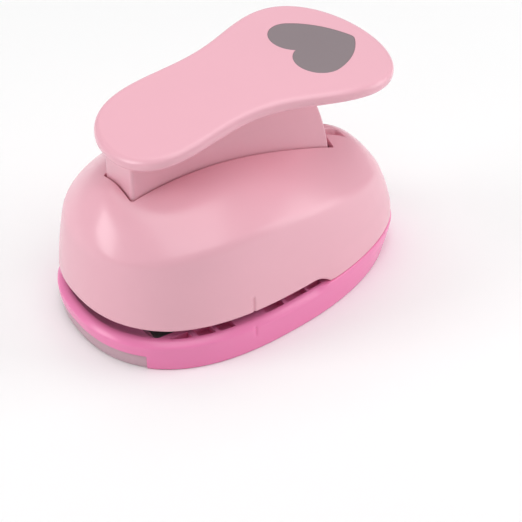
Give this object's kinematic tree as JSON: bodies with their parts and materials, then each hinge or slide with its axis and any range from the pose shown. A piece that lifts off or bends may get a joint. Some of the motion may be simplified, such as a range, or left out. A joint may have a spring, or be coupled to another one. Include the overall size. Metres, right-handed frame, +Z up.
{
  "type": "craft punch",
  "caption": "Lever craft punch: a hinged lever over a domed housing drives a heart-shaped steel punch through paper slid into the mouth at the front.",
  "frame": {"origin": "on the table under the middle of the base's length and width", "axes": "+X from the paper mouth at the front to the lever's free end at the rear, +Y to the object's left seen from the rear, +Z up"},
  "size_m": [0.1192, 0.0758, 0.0775],
  "materials": {
    "pale_pink": "satin moulded plastic",
    "hot_pink": "satin moulded plastic",
    "cover_grey": "soft matte plastic",
    "inlay_grey": "soft matte plastic",
    "steel": "ground steel",
    "dark_steel": "hardened steel",
    "white_plastic": "natural moulded plastic",
    "brass": "turned"
  },
  "bodies": {
    "body": {"base_shell": "hot_pink", "bottom_cover": "cover_grey", "upper_housing": "pale_pink", "die_plate": "dark_steel", "spacer_bar": "dark_steel", "guide_plate": "steel", "die_screws": "steel", "guide_posts": "steel", "post_clips": "dark_steel", "spring_seats": "steel", "return_springs": "steel", "pivot_frame": "steel", "frame_screws": "steel", "pivot_pin": "steel", "pin_clips": "dark_steel", "housing_screws": "steel"},
    "lever": {"lever_cover": "pale_pink", "lever_core": "pale_pink", "heart_inlay": "inlay_grey", "pivot_bushes": "brass", "pressure_pin": "steel"},
    "ram": {"punch_head": "steel", "punch_carrier": "white_plastic", "carrier_bushes": "brass", "wear_plate": "dark_steel", "head_screws": "steel"}
  },
  "joints": [
    {"name": "lever_hinge", "type": "hinge", "parent": "body", "child": "lever", "pos_m": [-0.037, 0, 0.034], "axis": [0, 1, 0], "range_deg": [0, 13.5], "stiffness_Nm_per_rad": 3.7, "springref_deg": -5.73},
    {"name": "ram_slide", "type": "slide", "parent": "body", "child": "ram", "axis": [0, 0, -1], "range_m": [0, 0.0051], "deforming": ["return_springs"]}
  ],
  "couplings": [
    {"joint": "ram_slide", "follows": "lever_hinge", "m_per_rad": 0.0215}
  ]
}
